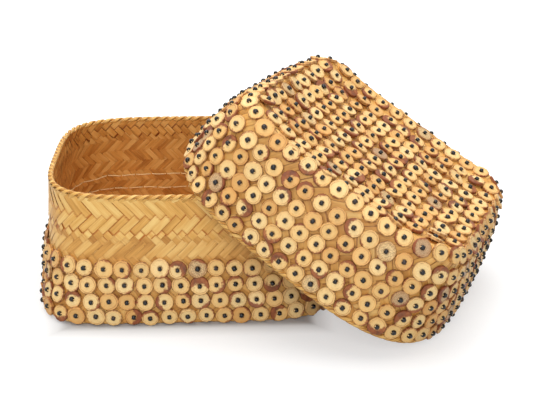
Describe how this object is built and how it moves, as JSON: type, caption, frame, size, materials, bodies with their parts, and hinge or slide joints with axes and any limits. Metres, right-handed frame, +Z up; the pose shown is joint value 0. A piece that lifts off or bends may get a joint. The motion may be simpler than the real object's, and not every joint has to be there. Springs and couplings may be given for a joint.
{
  "type": "lidded coconut shell basket",
  "caption": "Square plaited basket with a tapered lift-off lid leaning on it, dressed with sewn coconut shell disks and dark seed beads.",
  "frame": {"origin": "middle of the base's flat foot, on the floor", "axes": "+X to the right as pictured, towards the leaning lid, +Y to the back, +Z up"},
  "size_m": [0.3498, 0.2754, 0.1633],
  "materials": {
    "plait": "satin golden plaited leaf strip",
    "liner": "satin brown plaited leaf strip",
    "rim": "satin braided leaf strip",
    "coconut_disk": "matte cut coconut shell with brown patches",
    "seed_bead": "glossy near-black",
    "thread": "pale flat fibre"
  },
  "bodies": {
    "base": {"base_outer_plait": "plait", "base_inner_plait": "liner", "base_rim_braid": "rim", "base_disks_row_1": "coconut_disk", "base_disks_row_2": "coconut_disk", "base_disks_row_3": "coconut_disk", "base_disks_row_4": "coconut_disk", "base_beads_row_1": "seed_bead", "base_beads_row_2": "seed_bead", "base_beads_row_3": "seed_bead", "base_beads_row_4": "seed_bead", "base_thread_row_1": "thread", "base_thread_row_2": "thread", "base_thread_row_3": "thread", "base_thread_row_4": "thread"},
    "lid": {"lid_outer_plait": "plait", "lid_inner_plait": "liner", "lid_rim_cord": "rim", "lid_disks_row_1": "coconut_disk", "lid_disks_row_2": "coconut_disk", "lid_disks_row_3": "coconut_disk", "lid_disks_row_4": "coconut_disk", "lid_disks_row_5": "coconut_disk", "lid_disks_row_6": "coconut_disk", "lid_beads_row_1": "seed_bead", "lid_beads_row_2": "seed_bead", "lid_beads_row_3": "seed_bead", "lid_beads_row_4": "seed_bead", "lid_beads_row_5": "seed_bead", "lid_beads_row_6": "seed_bead", "lid_thread_row_1": "thread", "lid_thread_row_2": "thread", "lid_thread_row_3": "thread", "lid_thread_row_4": "thread", "lid_thread_row_5": "thread", "lid_thread_row_6": "thread", "lid_top_disks": "coconut_disk", "lid_top_beads": "seed_bead", "lid_top_thread": "thread"}
  },
  "joints": [
    {"name": "lid_lift", "type": "slide", "parent": "base", "child": "lid", "axis": [0, 0, 1], "range_m": [0, 0.12]}
  ]
}
